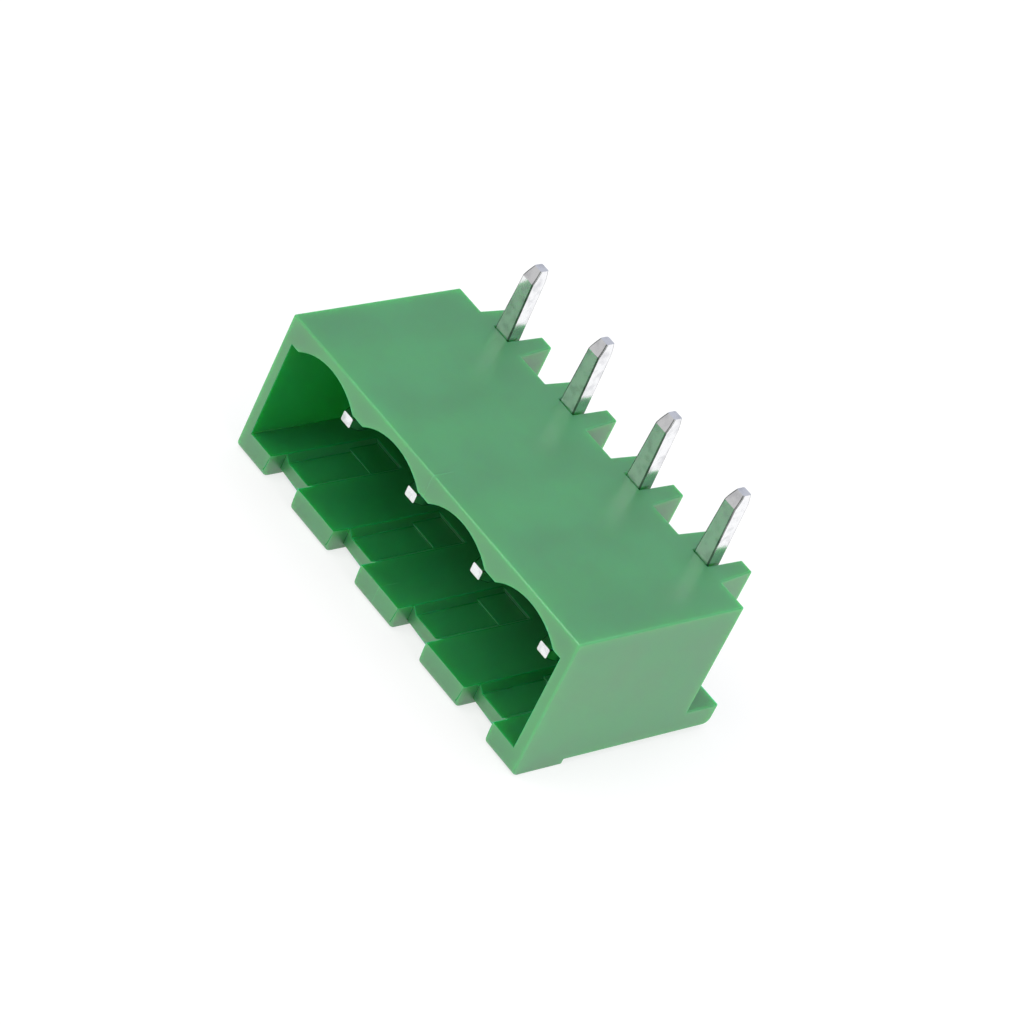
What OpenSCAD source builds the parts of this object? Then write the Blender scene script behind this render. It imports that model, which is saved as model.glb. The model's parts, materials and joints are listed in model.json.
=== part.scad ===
// Right-angle header of a pluggable terminal block, four poles, closed ends.
// Millimetres, +Z up. The header lies on its key side with the solder tails up.
// X runs along the row of poles, -Y is the mating face and +Y the rear.
// The origin is the middle of the base of the overall box.

/* [Row of poles] */
// Pitch from one pole to the next
pitch = 5.08; // [5.08:0.02:5.3]
// Distance from an outer pole to the outer face of the end wall
end_margin = 3.26; // [3.2:0.02:3.6]

/* [Housing] */
// Depth over all, from the mating face to the tips of the rear arms
depth = 12; // [11.5:0.1:13]
// Depth of the end walls, from the mating face to the rear face of the back wall
body_depth = 9.93; // [9.5:0.01:10.2]
// Height from the key side to the board seat
height = 7.85; // [7.7:0.05:8.6]
// Thickness of the end walls
end_wall = 0.6; // [0.5:0.05:0.8]
// Depth of the plug cavity from the mating face
cavity_depth = 8.4; // [7.4:0.1:8.6]

/* [Board-side wall] */
// Thickness of the wall between the scallops
seat_wall = 1.3; // [1.1:0.05:1.5]
// Radius of the scallop round each mating contact
scallop_r = 3.33; // [3:0.01:3.6]

/* [Key-side wall] */
// Thickness of the wall behind the raised band
key_wall = 0.97; // [0.85:0.01:1.2]
// Depth of the raised band along the mating face
band_depth = 3; // [2:0.1:4]
// Height of the raised band over the wall behind it
band_step = 0.28; // [0.1:0.02:0.4]
// Radius of the band's outer front edge
band_edge_r = 0.4; // [0.1:0.05:0.6]
// Width of the notch in the front edge at each pole
notch_w = 2.2; // [1.8:0.05:2.6]
// Depth of that notch from the mating face
notch_depth = 0.97; // [0.5:0.01:1.5]
// Depth to which the notch also cuts the raised band
band_gap_depth = 1.6; // [1.4:0.05:1.9]
// Depth of the keyway that runs on from each notch
keyway_depth = 0.3; // [0.2:0.02:0.4]
// Width that each sloping side of the keyway takes
keyway_slope_w = 0.35; // [0.2:0.01:0.5]
// Length of the deep part of the keyway from the mating face
keyway_deep_len = 4.65; // [3:0.05:5]
// Length of the whole keyway from the mating face
keyway_len = 6.3; // [5.5:0.1:7]
// Rise of the keyway floor at the end of its deep part
keyway_rise = 0.1; // [0.06:0.02:0.16]

/* [Rear] */
// Depth of the canopy that runs on behind the back wall
canopy_depth = 1.95; // [1.8:0.01:2.2]
// Thickness of the canopy
canopy_t = 1.15; // [0.9:0.05:1.4]
// Radius of the canopy's outer rear edge
canopy_edge_r = 0.4; // [0.1:0.05:0.6]
// Width over a pair of arms at the back wall
arms_root_w = 3.2; // [2.8:0.05:3.6]
// Width over a pair of arms at their tips
arms_tip_w = 2.78; // [2.4:0.02:3.2]
// Thickness of an arm at its tip
arm_tip_t = 0.77; // [0.5:0.01:0.9]

/* [Contact pins] */
// Width of the wire across the row
pin_w = 1; // [0.8:0.05:1.1]
// Thickness of the wire the other way
pin_t = 0.8; // [0.6:0.05:1]
// Distance of the mating contact's axis below the board seat
pin_drop = 3.85; // [3.6:0.05:4.2]
// Distance of the contact tips behind the mating face
pin_recess = 2.45; // [2:0.05:3]
// Length of the solder tail above the board seat
tail_len = 3.8; // [3:0.1:4.2]
// Width of the solder tail where its coined tip begins
tail_shoulder_w = 0.78; // [0.6:0.02:1]
// Inner radius of the bend
bend_r = 0.5; // [0.3:0.05:0.6]
// Length of the coined tip of the solder tail
tip_len = 0.62; // [0.4:0.02:1]
// Width of the small flat at the end of that tip, across the row
tip_w = 0.52; // [0.3:0.02:0.6]
// Thickness of that flat the other way
tip_t = 0.48; // [0.3:0.02:0.6]
// Length of the coined lead of the mating contact
lead_len = 0.5; // [0.3:0.05:0.8]
// Width of the flat at the end of that lead, across the row
lead_w = 0.66; // [0.4:0.02:0.7]
// Thickness of that flat the other way
lead_t = 0.52; // [0.3:0.02:0.56]

/* [Fits] */
// Clearance between a contact and the back wall: in its hole, inside its bend and before its tail
wire_clear = 0.03; // [0.01:0.01:0.05]
// Clearance between the tail and each arm beside it
arm_clear = 0.05; // [0.02:0.01:0.1]

/* [Hidden] */
$fn = 96;
// Overlap that makes a cut or a joint clean
eps = 0.01;
// The node list below names one contact for each pole
poles = 4;

width = (poles - 1) * pitch + 2 * end_margin;
y_front = -depth / 2;
y_back = y_front + body_depth;
y_rear = depth / 2;
y_canopy = y_back + canopy_depth;
pin_z = height - pin_drop;
land_z = band_step + key_wall;
ceiling_z = height - seat_wall;
canopy_z = band_step + canopy_t;
tail_y = y_back + wire_clear + pin_t / 2;
hole_w = pin_w + 2 * wire_clear;
hole_h = pin_t + 2 * wire_clear;

function pole_x(i) = (i - (poles - 1) / 2) * pitch;

// A copy of the children at every pole
module at_poles() {
    for (i = [0 : poles - 1])
        translate([pole_x(i), 0, 0])
            children();
}

// A section drawn in Y and Z, carried along X over a width centred on X = 0
module along_x(w) {
    translate([-w / 2, 0, 0])
        rotate([90, 0, 90])
            linear_extrude(w)
                children();
}

// A section drawn in X and Z, carried back from the mating face over a length
module from_front(length) {
    translate([0, y_front + length, 0])
        rotate([90, 0, 0])
            linear_extrude(length + eps)
                children();
}

// The waste outside a round edge, for a corner at the origin with the body towards +X and +Y
module edge_waste(r) {
    difference() {
        translate([-eps, -eps])
            square(r + eps);
        translate([r, r])
            circle(r);
    }
}

// Outline of the housing from the side: box, raised front band and rear canopy
module side_outline() {
    difference() {
        union() {
            translate([y_front, band_step])
                square([body_depth, height - band_step]);
            translate([y_front, 0])
                square([band_depth, land_z]);
            translate([y_front, band_step])
                square([body_depth + canopy_depth, canopy_t]);
        }
        translate([y_front, 0])
            edge_waste(band_edge_r);
        translate([y_canopy, band_step])
            mirror([1, 0])
                edge_waste(canopy_edge_r);
    }
}

// Outline of the cavity from the front: a box with a scallop over each contact
module cavity_outline() {
    inner_w = width - 2 * end_wall;
    translate([-inner_w / 2, land_z])
        square([inner_w, ceiling_z - land_z]);
    intersection() {
        translate([-inner_w / 2, ceiling_z - eps])
            square([inner_w, seat_wall]);
        for (i = [0 : poles - 1])
            translate([pole_x(i), pin_z])
                circle(scallop_r);
    }
}

// Outline of one keyway from the front, open towards the cavity
module keyway_outline() {
    half_top = notch_w / 2;
    half_floor = half_top - keyway_slope_w;
    floor_z = land_z - keyway_depth;
    polygon([
        [-half_top, land_z],
        [-half_floor, floor_z],
        [half_floor, floor_z],
        [half_top, land_z],
        [half_top, land_z + eps],
        [-half_top, land_z + eps]
    ]);
}

// One keyway: its floor rises a little at the end of the deep part, and again at its end
module keyway() {
    from_front(keyway_deep_len)
        keyway_outline();
    from_front(keyway_len)
        intersection() {
            keyway_outline();
            translate([-notch_w, land_z - keyway_depth + keyway_rise])
                square([2 * notch_w, keyway_depth]);
        }
}

// The notch in the front edge at one pole, which runs on a little further in the raised band
module notch() {
    translate([-notch_w / 2, y_front - eps, -eps]) {
        cube([notch_w, notch_depth + eps, land_z + 2 * eps]);
        cube([notch_w, band_gap_depth + eps, band_step + eps]);
    }
}

// The rectangular hole for one contact through the back wall, with a round edge inside the bend
module contact_hole() {
    hole_len = body_depth - cavity_depth + 2 * eps;
    translate([-hole_w / 2, y_front + cavity_depth - eps, pin_z - hole_h / 2])
        cube([hole_w, hole_len, hole_h]);
    translate([0, y_back, pin_z + hole_h / 2])
        along_x(hole_w)
            mirror([1, 0])
                edge_waste(bend_r - wire_clear);
}

// The pair of tapered arms that stands on the canopy and guards one solder tail
module arms() {
    slot_root = pin_w / 2 + arm_clear;
    slot_tip = arms_tip_w / 2 - arm_tip_t;
    for (side = [-1, 1])
        translate([0, 0, canopy_z - eps])
            linear_extrude(height - canopy_z + eps)
                polygon([
                    [side * slot_root, y_back - eps],
                    [side * arms_root_w / 2, y_back - eps],
                    [side * arms_tip_w / 2, y_rear],
                    [side * slot_tip, y_rear]
                ]);
}

module housing() {
    color("seagreen") {
        difference() {
            along_x(width)
                side_outline();
            from_front(cavity_depth)
                cavity_outline();
            at_poles() {
                keyway();
                notch();
                contact_hole();
            }
        }
        at_poles()
            arms();
    }
}

// A flat wire that stands on the origin with its far end coined, cut from its two side outlines
module coined_wire() {
    intersection() {
        rotate([90, 0, 0])
            linear_extrude(2 * pin_w, center = true)
                children(0);
        rotate([90, 0, 90])
            linear_extrude(2 * pin_w, center = true)
                children(1);
    }
}

// Side outline of a wire: straight to the neck, tapered to the shoulder, then coined to a flat
module wire_outline(w, neck, shoulder_w, shoulder, flat_low, flat_high, length) {
    polygon([
        [-w / 2, 0],
        [w / 2, 0],
        [w / 2, neck],
        [shoulder_w / 2, shoulder],
        [flat_high, length],
        [flat_low, length],
        [-shoulder_w / 2, shoulder],
        [-w / 2, neck]
    ]);
}

// The mating leg: its lead is coined evenly on all four sides
module mating_leg(length) {
    shoulder = length - lead_len;
    neck = shoulder / 2;
    coined_wire() {
        wire_outline(pin_w, neck, pin_w, shoulder, -lead_w / 2, lead_w / 2, length);
        wire_outline(pin_t, neck, pin_t, shoulder, -lead_t / 2, lead_t / 2, length);
    }
}

// The solder tail: it narrows above the board seat, and its tip is coined on three sides
module solder_leg(length, seat) {
    shoulder = length - tip_len;
    rear = pin_t / 2;
    coined_wire() {
        wire_outline(pin_w, seat, tail_shoulder_w, shoulder, -tip_w / 2, tip_w / 2, length);
        wire_outline(pin_t, seat, pin_t, shoulder, rear - tip_t, rear, length);
    }
}

// The quarter ring that joins the mating leg to the solder tail
module bend(axis_r) {
    translate([-pin_w / 2, 0, axis_r])
        rotate([0, 90, 0])
            rotate_extrude(angle = 90)
                translate([bend_r, 0])
                    square([pin_t, pin_w]);
}

// One contact, bent from flat wire: the mating leg points to -Y and the solder tail to +Z
module contact_pin(i) {
    axis_r = bend_r + pin_t / 2;
    bend_y = tail_y - axis_r;
    bend_z = pin_z + axis_r;
    color("silver")
        translate([pole_x(i), bend_y, pin_z]) {
            rotate([90, 0, 0])
                mating_leg(bend_y - y_front - pin_recess);
            bend(axis_r);
            translate([0, axis_r, axis_r])
                solder_leg(height + tail_len - bend_z, height - bend_z);
        }
}

housing();
contact_pin(0);  // contact_pin_1
contact_pin(1);  // contact_pin_2
contact_pin(2);  // contact_pin_3
contact_pin(3);  // contact_pin_4
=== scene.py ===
"""Looks of a right-angle board header of a pluggable terminal block.

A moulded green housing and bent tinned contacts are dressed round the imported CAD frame.
All lengths are in metres unless a name ends in _mm, and +Z is up.
"""

from __future__ import annotations

import json
import logging
from dataclasses import dataclass, field
from enum import Enum
from typing import Any

import bmesh
import bpy
import numpy as np
from mathutils import Matrix, Vector

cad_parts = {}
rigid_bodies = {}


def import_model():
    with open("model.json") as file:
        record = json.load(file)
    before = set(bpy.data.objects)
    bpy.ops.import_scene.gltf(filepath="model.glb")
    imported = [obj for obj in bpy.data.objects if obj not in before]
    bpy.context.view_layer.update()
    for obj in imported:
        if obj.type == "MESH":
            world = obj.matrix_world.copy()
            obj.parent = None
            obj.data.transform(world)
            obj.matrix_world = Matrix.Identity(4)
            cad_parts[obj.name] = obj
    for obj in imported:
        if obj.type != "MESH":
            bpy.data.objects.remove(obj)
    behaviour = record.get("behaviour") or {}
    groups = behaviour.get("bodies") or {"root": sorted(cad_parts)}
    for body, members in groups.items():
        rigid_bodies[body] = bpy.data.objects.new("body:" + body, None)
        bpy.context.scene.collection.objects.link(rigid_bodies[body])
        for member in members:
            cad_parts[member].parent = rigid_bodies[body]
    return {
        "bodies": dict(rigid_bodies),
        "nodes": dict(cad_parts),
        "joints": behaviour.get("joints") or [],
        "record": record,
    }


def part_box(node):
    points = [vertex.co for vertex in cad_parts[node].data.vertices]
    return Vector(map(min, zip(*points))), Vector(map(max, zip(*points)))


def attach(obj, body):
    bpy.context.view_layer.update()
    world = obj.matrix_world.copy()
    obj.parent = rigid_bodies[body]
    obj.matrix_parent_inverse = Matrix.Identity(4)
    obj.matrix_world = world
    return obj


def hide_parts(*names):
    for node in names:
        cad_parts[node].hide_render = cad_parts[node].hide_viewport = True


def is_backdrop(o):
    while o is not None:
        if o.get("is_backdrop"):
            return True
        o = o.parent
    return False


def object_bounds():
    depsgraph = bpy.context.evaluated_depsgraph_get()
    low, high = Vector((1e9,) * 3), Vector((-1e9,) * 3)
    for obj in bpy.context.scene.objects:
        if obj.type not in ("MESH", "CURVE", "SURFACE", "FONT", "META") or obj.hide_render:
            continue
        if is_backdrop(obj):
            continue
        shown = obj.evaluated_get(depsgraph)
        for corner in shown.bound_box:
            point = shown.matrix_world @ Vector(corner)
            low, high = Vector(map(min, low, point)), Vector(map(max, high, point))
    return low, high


LOG = logging.getLogger("header")
MM = 0.001
Colour = tuple[float, float, float, float]


# ---------------------------------------------------------------- shader expressions


@dataclass(frozen=True)
class Value:
    """A node's output socket that takes part in Python arithmetic."""

    tree: bpy.types.NodeTree
    socket: bpy.types.NodeSocket | None

    def _math(self, operation: str, first: Any, second: Any) -> Value:
        """Adds one Math node.

        Args:
            operation: the Math node's operation.
            first: a Value or a number.
            second: a Value or a number.

        Returns:
            The node's result.
        """
        return Graph(self.tree).add(
            "ShaderNodeMath", {"operation": operation}, {0: first, 1: second}
        )

    def __add__(self, other: Any) -> Value:
        """self + other."""
        return self._math("ADD", self, other)

    def __radd__(self, other: Any) -> Value:
        """other + self."""
        return self._math("ADD", other, self)

    def __sub__(self, other: Any) -> Value:
        """self - other."""
        return self._math("SUBTRACT", self, other)

    def __rsub__(self, other: Any) -> Value:
        """other - self."""
        return self._math("SUBTRACT", other, self)

    def __mul__(self, other: Any) -> Value:
        """self * other."""
        return self._math("MULTIPLY", self, other)

    def __rmul__(self, other: Any) -> Value:
        """other * self."""
        return self._math("MULTIPLY", other, self)


@dataclass(frozen=True)
class Graph:
    """A node tree, with one method that adds a node of any type."""

    tree: bpy.types.NodeTree

    def add(
        self,
        kind: str,
        settings: dict[str, Any] | None = None,
        inputs: dict[int | str, Any] | None = None,
        output: int | str = 0,
    ) -> Value:
        """Adds a node, sets it up, then fills its sockets.

        Args:
            kind: the node's type, such as ShaderNodeTexNoise.
            settings: the node's own settings, such as a Math node's operation.
            inputs: a number, colour or Value for each socket.
            output: the output socket to hand back.

        Returns:
            The chosen output as a Value.
        """
        node = self.tree.nodes.new(kind)
        for name, value in (settings or {}).items():
            setattr(node, name, value)
        for name, value in (inputs or {}).items():
            if isinstance(value, Value):
                self.tree.links.new(value.socket, node.inputs[name])
            else:
                node.inputs[name].default_value = value
        return Value(self.tree, node.outputs[output] if node.outputs else None)

    def object_place(self) -> Value:
        """Finds the shaded point.

        Returns:
            The point in the piece's own coordinates.
        """
        return self.add("ShaderNodeTexCoord", output="Object")

    def noise(self, place: Value, size_mm: float, detail: float = 2.0) -> Value:
        """Soft noise whose blotches are about size_mm across.

        Args:
            place: the point at which it is read.
            size_mm: width of a blotch.
            detail: number of finer octaves.

        Returns:
            A value from 0 to 1.
        """
        inputs = {"Vector": place, "Scale": 1.0 / (size_mm * MM), "Detail": detail}
        return self.add("ShaderNodeTexNoise", None, inputs, "Fac")

    def blend(self, amount: Any, first: Any, second: Any) -> Value:
        """Mixes two colours.

        Args:
            amount: 0 for the first colour, 1 for the second.
            first: a colour or a Value.
            second: a colour or a Value.

        Returns:
            The mixed colour.
        """
        return self.add(
            "ShaderNodeMix",
            {"data_type": "RGBA"},
            {"Factor": amount, 6: first, 7: second},
            2,
        )

    def bump(self, height: Value, reach_mm: float, under: Value | None = None) -> Value:
        """Turns a height map into a relief.

        Args:
            height: the map, from 0 to about 1.
            reach_mm: height of a step from 0 to 1.
            under: a relief that this one lies on.

        Returns:
            The shading normal.
        """
        inputs: dict[int | str, Any] = {
            "Height": height,
            "Distance": reach_mm * MM,
            "Strength": 1.0,
        }
        if under is not None:
            inputs["Normal"] = under
        return self.add("ShaderNodeBump", None, inputs)

    def band(self, value: Value, start: float, end: float) -> Value:
        """Maps start..end of a value smoothly onto 0..1.

        Args:
            value: the value.
            start: where the result leaves 0.
            end: where the result reaches 1.

        Returns:
            The mapped value.
        """
        return self.add(
            "ShaderNodeMapRange",
            {"interpolation_type": "SMOOTHSTEP"},
            {"Value": value, "From Min": start, "From Max": end},
        )


def new_material(name: str) -> tuple[bpy.types.Material, Graph]:
    """Starts an empty node material.

    Args:
        name: the material's name.

    Returns:
        The material and its graph.
    """
    material = bpy.data.materials.new(name)
    material.use_nodes = True
    material.node_tree.nodes.clear()
    return material, Graph(material.node_tree)


def close_material(graph: Graph, surface: Value) -> None:
    """Joins a shader to the material's output.

    Args:
        graph: the material's graph.
        surface: the shader.
    """
    graph.add("ShaderNodeOutputMaterial", None, {"Surface": surface})


# ---------------------------------------------------------------- finishes


class PlasticZone(Enum):
    """Where on the moulding a plastic finish lies. The value is its place in the piece."""

    FACE = 0
    EDGE = 1
    INNER_EDGE = 2


@dataclass(frozen=True)
class MouldedPlastic:
    """Semi-gloss green moulding plastic that lets a little light through its thin walls.

    It has faint flow clouds, a fine eroded skin, slow sink waves and the witness line of the
    mould insert across the front of the board seat. Its rounded outer edges get a painted
    highlight in a lighter green.
    """

    zone: PlasticZone
    deep: Colour = (0.0010, 0.208, 0.043, 1.0)
    light: Colour = (0.0025, 0.244, 0.055, 1.0)
    # Lighter green: a painted highlight on the rounded outer edges, and also the tone of the
    # witness line.
    sheen_and_witness_green: Colour = (0.060, 0.420, 0.150, 1.0)
    painted_edge_sheen_share: float = 0.12
    roughness: float = 0.45
    ior: float = 1.70
    specular_level: float = 1.0
    inner_edge_level: float = 0.2
    glow_through: float = 0.9
    glow_reach_mm: float = 2.4
    glow_spread: tuple[float, float, float] = (0.08, 1.0, 0.25)
    cloud_mm: float = 3.5
    cloud_limits: tuple[float, float] = (0.3, 0.7)
    cloud_roughness: float = 0.06
    grain_roughness: float = 0.05
    skin_mm: float = 0.09
    skin_height_mm: float = 0.0014
    sink_mm: float = 5.0
    sink_height_mm: float = 0.016
    witness_half_mm: float = 0.035
    witness_end_y_mm: float = -4.7
    witness_fade_mm: float = 0.3
    witness_core: float = 0.4
    witness_tint: float = 0.3
    witness_rise: float = 6.0

    def make(self) -> bpy.types.Material:
        """Builds the material.

        Returns:
            The node material.
        """
        material, graph = new_material(f"housing_plastic_{self.zone.name.lower()}")
        place = graph.object_place()
        cloud = graph.band(graph.noise(place, self.cloud_mm, 3.0), *self.cloud_limits)
        grain = graph.noise(place, self.skin_mm, 2.0)
        witness = self._witness(graph, place)
        colour = graph.blend(cloud, self.deep, self.light)
        colour = graph.blend(self.witness_tint * witness, colour, self.sheen_and_witness_green)
        # Painted highlight: the rounded outer edges are tinted lighter, standing in for light
        # catching them.
        if self.zone is PlasticZone.EDGE:
            colour = graph.blend(self.painted_edge_sheen_share, colour, self.sheen_and_witness_green)
        inner = self.zone is PlasticZone.INNER_EDGE
        level = self.inner_edge_level if inner else self.specular_level
        slow = graph.bump(graph.noise(place, self.sink_mm, 1.0), self.sink_height_mm)
        fine = graph.bump(grain + self.witness_rise * witness, self.skin_height_mm, slow)
        roughness = self.roughness + self.cloud_roughness * (cloud - 0.5)
        shader = graph.add(
            "ShaderNodeBsdfPrincipled",
            {"subsurface_method": "RANDOM_WALK"},
            {
                "Base Color": colour,
                "Roughness": roughness + self.grain_roughness * (grain - 0.5),
                "IOR": self.ior,
                "Specular IOR Level": level,
                "Subsurface Weight": self.glow_through,
                "Subsurface Radius": self.glow_spread,
                "Subsurface Scale": self.glow_reach_mm * MM,
                "Normal": fine,
            },
        )
        close_material(graph, shader)
        return material

    def _witness(self, graph: Graph, place: Value) -> Value:
        """Mask of the witness line: 1 where |x| is under its half width near the front.

        Args:
            graph: the material's graph.
            place: the shaded point.

        Returns:
            1 on the line, 0 elsewhere.
        """
        x = graph.add("ShaderNodeSeparateXYZ", None, {0: place}, "X")
        y = graph.add("ShaderNodeSeparateXYZ", None, {0: place}, "Y")
        off = graph.add("ShaderNodeMath", {"operation": "ABSOLUTE"}, {0: x})
        half = self.witness_half_mm * MM
        line = 1.0 - graph.band(off, self.witness_core * half, half)
        end = self.witness_end_y_mm * MM
        return line * (1.0 - graph.band(y, end - self.witness_fade_mm * MM, end))


class WireZone(Enum):
    """Where on the wire a tin finish lies."""

    FLAT = 0
    CORNER = 1


@dataclass(frozen=True)
class BrightTin:
    """Bright tin plating with a faint drawn grain and soft clouding, with dark shade painted on
    its rounded corners.
    """

    zone: WireZone
    bright: Colour = (0.80, 0.80, 0.81, 1.0)
    dull: Colour = (0.62, 0.62, 0.64, 1.0)
    # Near-black painted shade, laid on the rounded corner strips.
    corner: Colour = (0.06, 0.07, 0.06, 1.0)
    roughness: float = 0.15
    cloud_mm: float = 0.45
    cloud_limits: tuple[float, float] = (0.4, 0.75)
    cloud_roughness: float = 0.07
    # How much of the painted shade covers the corner strips, partly varied by the clouds.
    corner_share: float = 0.7
    corner_shade_cloud_share: float = 0.2
    grain_mm: float = 0.05
    grain_stretch: tuple[float, float, float] = (1.0, 0.12, 0.12)
    grain_height_mm: float = 0.0012

    def make(self) -> bpy.types.Material:
        """Builds the material.

        Returns:
            The node material.
        """
        material, graph = new_material(f"tinned_{self.zone.name.lower()}")
        place = graph.object_place()
        cloud = graph.band(graph.noise(place, self.cloud_mm, 4.0), *self.cloud_limits)
        drawn = graph.add(
            "ShaderNodeMapping", None, {"Vector": place, "Scale": self.grain_stretch}
        )
        grain = graph.noise(drawn, self.grain_mm, 2.0)
        colour = graph.blend(cloud, self.bright, self.dull)
        # Painted shade: the corner strips are darkened towards near black.
        if self.zone is WireZone.CORNER:
            share = self.corner_share + self.corner_shade_cloud_share * cloud
            colour = graph.blend(share, colour, self.corner)
        shader = graph.add(
            "ShaderNodeBsdfPrincipled",
            None,
            {
                "Base Color": colour,
                "Metallic": 1.0,
                "Roughness": self.roughness + self.cloud_roughness * cloud,
                "Normal": graph.bump(grain, self.grain_height_mm),
            },
        )
        close_material(graph, shader)
        return material


@dataclass(frozen=True)
class WhiteSweep:
    """The white ground: it takes the part's shadow and shows white round it."""

    paint: Colour = (0.93, 0.93, 0.93, 1.0)
    worn_paint: Colour = (0.90, 0.90, 0.90, 1.0)
    worn_share: float = 0.02
    grain_mm: float = 40.0
    glow: float = 1.04
    mirrored_glow: float = 1.25
    glow_share: float = 0.7

    def make(self) -> bpy.types.Material:
        """Builds the material.

        Returns:
            The node material.
        """
        material, graph = new_material("white_sweep")
        grain = graph.noise(graph.object_place(), self.grain_mm, 1.0)
        paint = graph.blend(self.worn_share * grain, self.paint, self.worn_paint)
        matt = graph.add("ShaderNodeBsdfDiffuse", None, {"Color": paint})
        seen = graph.add("ShaderNodeLightPath", output="Is Camera Ray")
        mirrored = graph.add("ShaderNodeLightPath", output="Is Glossy Ray")
        glow = self.glow * seen + self.mirrored_glow * mirrored
        white = graph.add("ShaderNodeEmission", None, {"Strength": glow})
        share = self.glow_share * (seen + mirrored)
        mixed = graph.add("ShaderNodeMixShader", None, {0: share, 1: matt, 2: white})
        close_material(graph, mixed)
        return material


# ---------------------------------------------------------------- meshes


def read_column(items: Any, name: str, kind: type, width: int = 1) -> np.ndarray:
    """Reads one property of every vertex, edge, corner or face of a mesh.

    Args:
        items: the mesh's collection.
        name: the property.
        kind: the array's number type.
        width: how many numbers each item holds.

    Returns:
        Array of shape (items,), or (items, width) where the width is over 1.
    """
    column = np.empty(len(items) * width, dtype=kind)
    items.foreach_get(name, column)
    return column.reshape(-1, width) if width > 1 else column


def mesh_from_grid(
    name: str, points: np.ndarray, second_zone: np.ndarray, crease_deg: float
) -> bpy.types.Mesh:
    """Makes a closed tube from a grid of points, with a face over each end.

    The grid's first axis runs along the tube and its second round it, so the quad at (i, j)
    joins the points (i, j), (i, j + 1), (i + 1, j + 1) and (i + 1, j), with j taken modulo
    the number of points round.

    Args:
        name: the mesh's name.
        points: array of shape (along, round, 3), in metres.
        second_zone: for each column of quads, whether it takes the second finish.
        crease_deg: turn from which an edge is shaded sharp.

    Returns:
        The mesh, with its faces outwards.
    """
    along, around, _ = points.shape
    row, col = np.meshgrid(np.arange(along - 1), np.arange(around), indexing="ij")
    after = (col + 1) % around
    quads = np.stack(
        [
            row * around + col,
            row * around + after,
            (row + 1) * around + after,
            (row + 1) * around + col,
        ],
        axis=-1,
    ).reshape(-1, 4)
    start = np.arange(around)[::-1]
    end = (along - 1) * around + np.arange(around)
    mesh = bpy.data.meshes.new(name)
    mesh.from_pydata(
        points.reshape(-1, 3).tolist(), [], [*quads.tolist(), start.tolist(), end.tolist()]
    )
    shape = bmesh.new()
    shape.from_mesh(mesh)
    bmesh.ops.recalc_face_normals(shape, faces=shape.faces)
    shape.to_mesh(mesh)
    shape.free()
    zone = np.zeros(len(mesh.polygons), dtype=np.int32)
    zone[: quads.shape[0]] = np.tile(second_zone.astype(np.int32), along - 1)
    mesh.polygons.foreach_set("material_index", zone)
    mesh.shade_smooth()
    mesh.set_sharp_from_angle(angle=np.radians(crease_deg))
    return mesh


def place_piece(
    name: str, mesh: bpy.types.Mesh, finishes: list[bpy.types.Material]
) -> bpy.types.Object:
    """Puts a mesh in the scene as a piece of the part.

    Args:
        name: the piece's name.
        mesh: its mesh, already in place.
        finishes: its materials, in slot order.

    Returns:
        The new object, which rides on the root.
    """
    for finish in finishes:
        mesh.materials.append(finish)
    piece = bpy.data.objects.new(name, mesh)
    bpy.context.scene.collection.objects.link(piece)
    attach(piece, "root")
    return piece


def weigh_normals(piece: bpy.types.Object) -> None:
    """Lets the flat faces rule the shading, so that only the round edges turn.

    Args:
        piece: the object to shade.
    """
    modifier = piece.modifiers.new("flat_faces_first", "WEIGHTED_NORMAL")
    modifier.mode = "FACE_AREA"
    modifier.weight = 80
    modifier.keep_sharp = True
    modifier.use_face_influence = True


# ---------------------------------------------------------------- housing


@dataclass(frozen=True)
class EdgeRadius:
    """One size of moulded edge."""

    layer: str
    radius_mm: float
    share_of_short_side: float
    zone: PlasticZone
    rounds: int


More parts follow.
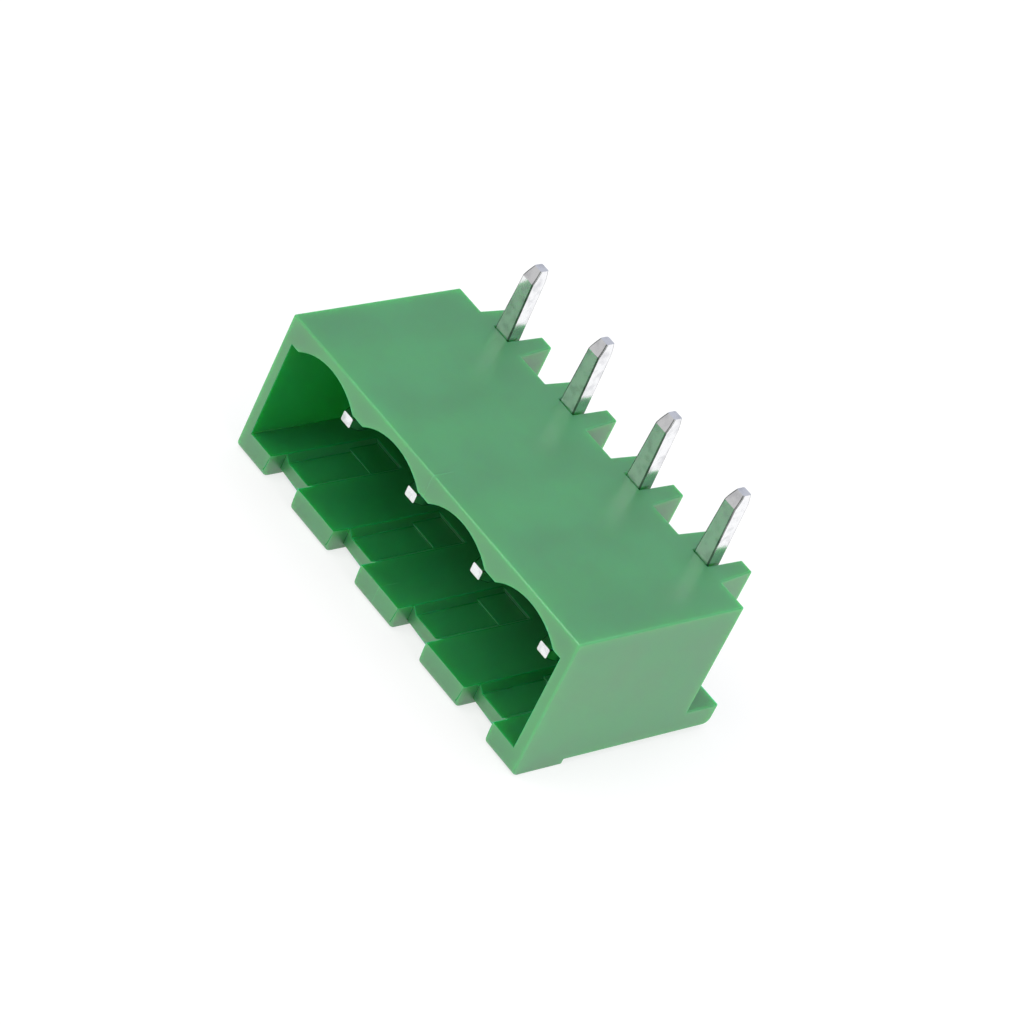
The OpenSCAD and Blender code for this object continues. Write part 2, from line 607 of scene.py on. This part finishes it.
@dataclass
class Housing:
    """The moulding: the CAD housing with a small radius on each of its edges."""

    node: str = "housing"
    name: str = "housing_moulding"
    outside: EdgeRadius = EdgeRadius("outside_edge", 0.09, 0.36, PlasticZone.EDGE, 4)
    inside: EdgeRadius = EdgeRadius("inside_edge", 0.03, 0.20, PlasticZone.INNER_EDGE, 2)
    sharp_from_deg: float = 24.0
    merge_mm: float = 0.0005
    flat_deg: float = 0.5
    skin_mm: float = 0.1
    base_mm: float = 0.45
    back_mm: float = 2.2
    edges_at_vertex: int = 8
    same_way: float = 0.8
    finishes: list[MouldedPlastic] = field(
        default_factory=lambda: [MouldedPlastic(zone) for zone in PlasticZone]
    )

    def build(self, frame: dict[str, Any]) -> bpy.types.Object:
        """Copies the CAD housing, merges it and rounds its edges.

        Args:
            frame: the loaded frame.

        Returns:
            The piece.
        """
        mesh = self._merged_copy(frame["nodes"][self.node])
        self._weigh_edges(mesh)
        mesh.shade_smooth()
        finishes = [finish.make() for finish in self.finishes]
        piece = place_piece(self.name, mesh, finishes)
        for edge in (self.outside, self.inside):
            bevel = piece.modifiers.new(edge.layer, "BEVEL")
            bevel.limit_method = "WEIGHT"
            bevel.edge_weight = edge.layer
            bevel.offset_type = "OFFSET"
            bevel.width = edge.radius_mm * MM
            bevel.segments = edge.rounds
            bevel.use_clamp_overlap = False
            bevel.material = edge.zone.value
        self._bake(piece)
        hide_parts(self.node)
        return piece

    @staticmethod
    def _bake(piece: bpy.types.Object) -> None:
        """Turns the bevels into mesh and shades flat faces apart from rounded edges.

        A border between two finishes is a border between a flat face and a rounded edge, so
        the normals are split there.

        Args:
            piece: the object with its modifiers.
        """
        bpy.context.view_layer.update()
        whole = piece.evaluated_get(bpy.context.evaluated_depsgraph_get())
        mesh = bpy.data.meshes.new_from_object(whole)
        piece.modifiers.clear()
        piece.data = mesh
        zone = read_column(mesh.polygons, "material_index", np.int32)
        corners = read_column(mesh.polygons, "loop_total", np.int32)
        edge = read_column(mesh.loops, "edge_index", np.int32)
        zone_at_corner = np.repeat(zone, corners)
        low = np.full(len(mesh.edges), len(PlasticZone))
        high = np.full(len(mesh.edges), -1)
        np.minimum.at(low, edge, zone_at_corner)
        np.maximum.at(high, edge, zone_at_corner)
        split = mesh.attributes.new("sharp_edge", "BOOLEAN", "EDGE")
        split.data.foreach_set("value", low != high)

    def _merged_copy(self, source: bpy.types.Object) -> bpy.types.Mesh:
        """Copies a CAD mesh, joins its loose triangles and dissolves its flat faces.

        Args:
            source: the CAD object.

        Returns:
            The merged mesh.
        """
        shape = bmesh.new()
        shape.from_mesh(source.data)
        bmesh.ops.remove_doubles(shape, verts=shape.verts, dist=self.merge_mm * MM)
        bmesh.ops.dissolve_limit(
            shape, angle_limit=np.radians(self.flat_deg), verts=shape.verts, edges=shape.edges
        )
        mesh = bpy.data.meshes.new(self.name)
        shape.to_mesh(mesh)
        shape.free()
        for layer in ("custom_normal", "sharp_face"):
            if layer in mesh.attributes:
                mesh.attributes.remove(mesh.attributes[layer])
        return mesh

    def _weigh_edges(self, mesh: bpy.types.Mesh) -> None:
        """Writes each edge's two bevel weights.

        An edge is sharp where its two faces turn by more than sharp_from_deg. It takes the
        outside radius if its middle lies on the skin, and else the inside one. Its radius
        is its kind's radius, but at most a share of the shortest sharp edge that leaves
        either of its ends in another direction. The weight is that radius over its kind's.

        Args:
            mesh: the merged mesh.
        """
        count = len(mesh.edges)
        ends = read_column(mesh.edges, "vertices", np.int64, 2)
        spots = read_column(mesh.vertices, "co", float, 3)
        run = spots[ends[:, 1]] - spots[ends[:, 0]]
        length = np.linalg.norm(run, axis=1)
        heading = run / length[:, None]
        sharp = self._turn_deg(mesh, count) > self.sharp_from_deg
        room = self._room(ends, sharp, heading, length)
        skin = self._on_skin(spots[ends].mean(axis=1), spots.min(axis=0), spots.max(axis=0))
        for edge, kind in ((self.outside, skin), (self.inside, ~skin)):
            largest = edge.radius_mm * MM
            radius = np.minimum(largest, edge.share_of_short_side * room)
            weight = np.where(sharp & kind, radius / largest, 0.0).astype(np.float32)
            layer = mesh.attributes.new(edge.layer, "FLOAT", "EDGE")
            layer.data.foreach_set("value", weight)

    def _room(
        self, ends: np.ndarray, sharp: np.ndarray, heading: np.ndarray, length: np.ndarray
    ) -> np.ndarray:
        """Length of the shortest sharp edge that meets each edge at an angle.

        Args:
            ends: the two vertices of each edge.
            sharp: whether each edge is sharp.
            heading: each edge's unit direction.
            length: each edge's length.

        Returns:
            One length for each edge, infinite where none meets it.
        """
        live = np.flatnonzero(sharp)
        vertex = ends[live].ravel()
        edge = np.repeat(live, 2)
        order = np.argsort(vertex, kind="stable")
        vertex, edge = vertex[order], edge[order]
        room = np.full(len(ends), np.inf)
        for shift in range(1, self.edges_at_vertex):
            met = vertex[shift:] == vertex[:-shift]
            one, two = edge[shift:][met], edge[:-shift][met]
            apart = np.abs(np.sum(heading[one] * heading[two], axis=1)) < self.same_way
            one, two = one[apart], two[apart]
            np.minimum.at(room, one, length[two])
            np.minimum.at(room, two, length[one])
        return room

    def _on_skin(self, middle: np.ndarray, low: np.ndarray, high: np.ndarray) -> np.ndarray:
        """Whether a point lies on the outer skin.

        The skin is what lies within skin_mm of the two ends or of the board seat, within
        base_mm of the lowest point, or within back_mm of the rear. The rest is the cavity
        with its rim, keyways and notches.

        Args:
            middle: points of shape (edges, 3).
            low: the housing's lowest corner.
            high: the housing's highest corner.

        Returns:
            One flag for each point.
        """
        slack = self.skin_mm * MM
        across = np.abs(middle[:, 0]) > high[0] - slack
        top = middle[:, 2] > high[2] - slack
        base = middle[:, 2] < low[2] + self.base_mm * MM
        back = middle[:, 1] > high[1] - self.back_mm * MM
        return across | top | base | back

    @staticmethod
    def _turn_deg(mesh: bpy.types.Mesh, count: int) -> np.ndarray:
        """Angle between the two faces of each edge: acos(n1 . n2), in degrees.

        Args:
            mesh: a closed mesh.
            count: its number of edges.

        Returns:
            One angle for each edge.
        """
        normal = read_column(mesh.polygons, "normal", float, 3)
        corners = read_column(mesh.polygons, "loop_total", np.int64)
        edge = read_column(mesh.loops, "edge_index", np.int64)
        face = np.repeat(np.arange(len(corners)), corners)
        order = np.argsort(edge, kind="stable")
        edge, face = edge[order], face[order]
        first = np.searchsorted(edge, np.arange(count), side="left")
        last = np.searchsorted(edge, np.arange(count), side="right") - 1
        cosine = np.sum(normal[face[first]] * normal[face[last]], axis=1)
        return np.degrees(np.arccos(np.clip(cosine, -1.0, 1.0)))


# ---------------------------------------------------------------- contacts


@dataclass(frozen=True)
class CoinedEnd:
    """Sizes of a wire end that is pressed to a small flat."""

    length: float
    flat_w: float
    flat_t: float


@dataclass
class ContactPin:
    """One contact bent from flat wire, with coined ends and soft drawn corners."""

    node: str
    finishes: list[bpy.types.Material]
    wire_w: float = 1.0 * MM
    wire_t: float = 0.8 * MM
    bend_axis_r: float = 0.9 * MM
    corner_r: float = 0.07 * MM
    tip: CoinedEnd = CoinedEnd(0.62 * MM, 0.52 * MM, 0.48 * MM)
    lead: CoinedEnd = CoinedEnd(0.50 * MM, 0.66 * MM, 0.52 * MM)
    shoulder_w: float = 0.78 * MM
    tail_len: float = 3.8 * MM
    side_bulge: float = 1.5
    corner_steps: int = 6
    corner_share: float = 0.3
    end_stations: tuple[float, ...] = (0.0, 0.1, 0.2, 0.35, 0.5, 0.65, 0.8, 0.9, 1.0)
    crease_deg: float = 19.0

    def build(self) -> bpy.types.Object:
        """Carries the wire's outline along its bent path.

        Returns:
            The piece.
        """
        low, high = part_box(self.node)
        middle = (low[0] + high[0]) / 2
        place, outward = self._path(np.array(low), np.array(high))
        half_w, inner, outer = self._outline_sizes(place, high[2], low[1])
        ring = self._ring(half_w, inner, outer)
        x = middle + ring[..., 0]
        y = place[:, None, 0] + outward[:, None, 0] * ring[..., 1]
        z = place[:, None, 1] + outward[:, None, 1] * ring[..., 1]
        corner = np.arange(ring.shape[1]) % self.corner_steps < self.corner_steps - 1
        name = f"{self.node}_tinned"
        points = np.stack([x, y, z], axis=-1)
        mesh = mesh_from_grid(name, points, corner, self.crease_deg)
        piece = place_piece(name, mesh, self.finishes)
        weigh_normals(piece)
        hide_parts(self.node)
        return piece

    def _path(self, low: np.ndarray, high: np.ndarray) -> tuple[np.ndarray, np.ndarray]:
        """Middle line of the wire in Y and Z, and the way out of the bend at each point.

        The mating leg runs along +Y at height z0, the bend is a quarter circle
        (y1 + r sin a, z0 + r (1 - cos a)) for a from 0 to 90 degrees, and the solder tail
        runs up +Z. The way out of the bend turns from -Z to +Y as (sin a, -cos a).

        Args:
            low: lowest corner of the contact.
            high: highest corner of the contact.

        Returns:
            Points and outward directions, each of shape (stations, 2).
        """
        r = self.bend_axis_r
        y0, y1 = low[1], high[1] - self.wire_t / 2 - r
        z0, z2 = low[2] + self.wire_t / 2, high[2]
        z1 = z0 + r
        share = np.array(self.end_stations)
        lead = self.lead.length * share
        leg = y0 + np.concatenate([lead, np.linspace(1.3 * lead[-1], y1 - y0, 8)])
        angle = np.radians(np.linspace(0.0, 90.0, 17)[1:-1])
        rise = np.linspace(z1, z2 - self.tail_len, 4)
        tail = np.linspace(z2 - self.tail_len, z2 - 1.15 * self.tip.length, 5)[1:]
        up = np.concatenate([rise, tail, z2 - self.tip.length * share[::-1]])
        y = np.concatenate([leg, y1 + r * np.sin(angle), np.full(up.size, y1 + r)])
        z = np.concatenate([np.full(leg.size, z0), z1 - r * np.cos(angle), up])
        turn = np.concatenate([np.zeros(leg.size), angle, np.full(up.size, np.pi / 2)])
        out = np.stack([np.sin(turn), -np.cos(turn)], axis=1)
        return np.stack([y, z], axis=1), out

    def _outline_sizes(
        self, place: np.ndarray, top: float, front_y: float
    ) -> tuple[np.ndarray, np.ndarray, np.ndarray]:
        """Half width, reach inside the bend and reach outside it along the path.

        With t the way from a shoulder to the end, from 0 to 1, a flat side that is coined
        from a to b reaches a + (b - a) t, and the tail's two round sides reach
        a + (b - a) t ** side_bulge. Above the board seat the tail narrows in a straight line
        from the wire's width to the shoulder's. The tail's outer side isn't coined.

        Args:
            place: the middle line.
            top: height of the tail's end.
            front_y: place of the mating lead's end.

        Returns:
            Three arrays, one value for each station.
        """
        tail_way = np.clip((place[:, 1] - top) / self.tip.length + 1.0, 0.0, 1.0)
        lead_way = np.clip((front_y - place[:, 0]) / self.lead.length + 1.0, 0.0, 1.0)
        straight = self.tail_len - self.tip.length
        above = np.clip((place[:, 1] - (top - self.tail_len)) / straight, 0.0, 1.0)
        body_w = self.wire_w + (self.shoulder_w - self.wire_w) * above
        width = body_w + (self.tip.flat_w - body_w) * tail_way**self.side_bulge
        width = width + (self.lead.flat_w - width) * lead_way
        full = self.wire_t / 2
        on_lead = full + (self.lead.flat_t / 2 - full) * lead_way
        inner = on_lead + (self.tip.flat_t - full - on_lead) * tail_way
        return width / 2, inner, on_lead

    def _ring(self, half_w: np.ndarray, inner: np.ndarray, outer: np.ndarray) -> np.ndarray:
        """Rounded rectangle at each station.

        With half width w, reach h on the corner's side, and signs sx and sy, each corner is
        the arc (sx (w - r) + r cos a, sy (h - r) + r sin a) over its own quarter turn of a.
        Its radius is r = min(corner_r, corner_share of the smaller side).

        Args:
            half_w: half widths.
            inner: reaches inside the bend.
            outer: reaches outside the bend.

        Returns:
            Array of shape (stations, points round, 2): across, and out of the bend.
        """
        angle = np.radians(np.linspace(0.0, 90.0, self.corner_steps))
        corner = np.concatenate([angle, angle + np.pi / 2, angle + np.pi, angle + 1.5 * np.pi])
        steps = self.corner_steps
        side = np.repeat([1.0, -1.0, -1.0, 1.0], steps)
        outside = np.repeat([True, True, False, False], steps)
        smaller = np.minimum(2 * half_w, inner + outer)
        r = np.minimum(self.corner_r, self.corner_share * smaller)[:, None]
        across = side * (half_w[:, None] - r) + r * np.cos(corner)
        reach = np.where(outside, outer[:, None] - r, -(inner[:, None] - r))
        return np.stack([across, reach + r * np.sin(corner)], axis=-1)


# ---------------------------------------------------------------- stage, light and camera


@dataclass
class Stage:
    """The ground that the part lies on."""

    half_width: float = 1.2
    finish: WhiteSweep = field(default_factory=WhiteSweep)

    def build(self, height: float) -> bpy.types.Object:
        """Lays the ground.

        Args:
            height: height of its surface.

        Returns:
            The ground.
        """
        reach = np.array([-self.half_width, self.half_width])
        x, y = np.meshgrid(reach, reach, indexing="ij")
        corners = np.stack([x, y, np.full_like(x, height)], axis=-1).reshape(-1, 3)
        mesh = bpy.data.meshes.new("ground")
        mesh.from_pydata(corners.tolist(), [], [(0, 2, 3, 1)])
        mesh.materials.append(self.finish.make())
        ground = bpy.data.objects.new("ground", mesh)
        bpy.context.scene.collection.objects.link(ground)
        ground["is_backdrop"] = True
        return ground


@dataclass(frozen=True)
class Panel:
    """A soft rectangular lamp."""

    name: str
    place: tuple[float, float, float]
    size: float
    watts: float

    def build(self, aim: Vector) -> None:
        """Hangs the lamp.

        Args:
            aim: the point that it faces.
        """
        lamp = bpy.data.lights.new(self.name, "AREA")
        lamp.shape = "SQUARE"
        lamp.size = self.size
        lamp.energy = self.watts
        hung = bpy.data.objects.new(self.name, lamp)
        hung.location = self.place
        hung.rotation_euler = (aim - Vector(self.place)).to_track_quat("-Z", "Y").to_euler()
        bpy.context.scene.collection.objects.link(hung)


@dataclass
class Studio:
    """Plain soft light from all round, a little stronger from above the front."""

    sky: float = 0.66
    front_tint: Colour = (1.0, 1.0, 1.0, 1.0)
    rear_tint: Colour = (0.96, 1.0, 1.13, 1.0)
    tint_limits: tuple[float, float] = (-0.2, 0.6)
    panels: list[Panel] = field(
        default_factory=lambda: [
            Panel("front_panel", (-0.10, -0.26, 0.36), 0.30, 0.78),
            Panel("right_panel", (0.36, -0.06, 0.20), 0.26, 0.45),
            Panel("top_panel", (0.02, 0.10, 0.42), 0.30, 0.42),
        ]
    )

    def build(self, aim: Vector) -> None:
        """Sets the sky and hangs the lamps.

        Args:
            aim: the point that the lamps face.
        """
        world = bpy.data.worlds.new("soft_white")
        world.use_nodes = True
        world.node_tree.nodes.clear()
        graph = Graph(world.node_tree)
        seen = graph.add("ShaderNodeLightPath", output="Is Camera Ray")
        strength = self.sky + (1.0 - self.sky) * seen
        heading = graph.add("ShaderNodeTexCoord", output="Generated")
        back = graph.add("ShaderNodeSeparateXYZ", None, {0: heading}, "Y")
        tint = graph.blend(graph.band(back, *self.tint_limits), self.front_tint, self.rear_tint)
        tint = graph.blend(seen, tint, self.front_tint)
        sky = graph.add("ShaderNodeBackground", None, {"Color": tint, "Strength": strength})
        graph.add("ShaderNodeOutputWorld", None, {"Surface": sky})
        bpy.context.scene.world = world
        for panel in self.panels:
            panel.build(aim)


@dataclass(frozen=True)
class ViewPoint:
    """A long lens above the right front corner, rolled to the left."""

    place_mm: tuple[float, float, float] = (103.338, -141.799, 126.170)
    right: tuple[float, float, float] = (0.57319757, 0.73202211, 0.36822301)
    up: tuple[float, float, float] = (-0.66167202, 0.14841093, 0.73495872)
    lens_mm: float = 169.137
    sensor_mm: float = 36.0
    clip: tuple[float, float] = (0.01, 10.0)

    def build(self) -> bpy.types.Object:
        """Sets up the camera.

        Returns:
            The camera.
        """
        lens = bpy.data.cameras.new("camera")
        lens.lens = self.lens_mm
        lens.sensor_width = self.sensor_mm
        lens.clip_start, lens.clip_end = self.clip
        camera = bpy.data.objects.new("camera", lens)
        right, up = Vector(self.right), Vector(self.up)
        turn = Matrix((right, up, right.cross(up))).transposed().to_4x4()
        camera.matrix_world = Matrix.Translation(Vector(self.place_mm) * MM) @ turn
        bpy.context.scene.collection.objects.link(camera)
        bpy.context.scene.camera = camera
        return camera


# ---------------------------------------------------------------- the part


def report(piece: bpy.types.Object) -> None:
    """Logs one piece's name and face count.

    Args:
        piece: the piece.
    """
    LOG.info("%s: %d faces", piece.name, len(piece.data.polygons))


def main(frame: dict[str, Any]) -> None:
    """Dresses the part and sets its stage.

    Args:
        frame: the loaded frame.
    """
    cad_low, cad_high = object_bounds()
    ViewPoint().build()
    report(Housing().build(frame))
    tin = [BrightTin(zone).make() for zone in WireZone]
    for node in sorted(name for name in frame["nodes"] if name.startswith("contact_pin")):
        report(ContactPin(node, tin).build())
    Stage().build(cad_low[2])
    Studio().build((cad_low + cad_high) / 2)
    bpy.context.scene.view_settings.view_transform = "Standard"


if __name__ == "__main__":
    logging.basicConfig(level=logging.INFO, format="%(name)s: %(message)s")
    main(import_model())
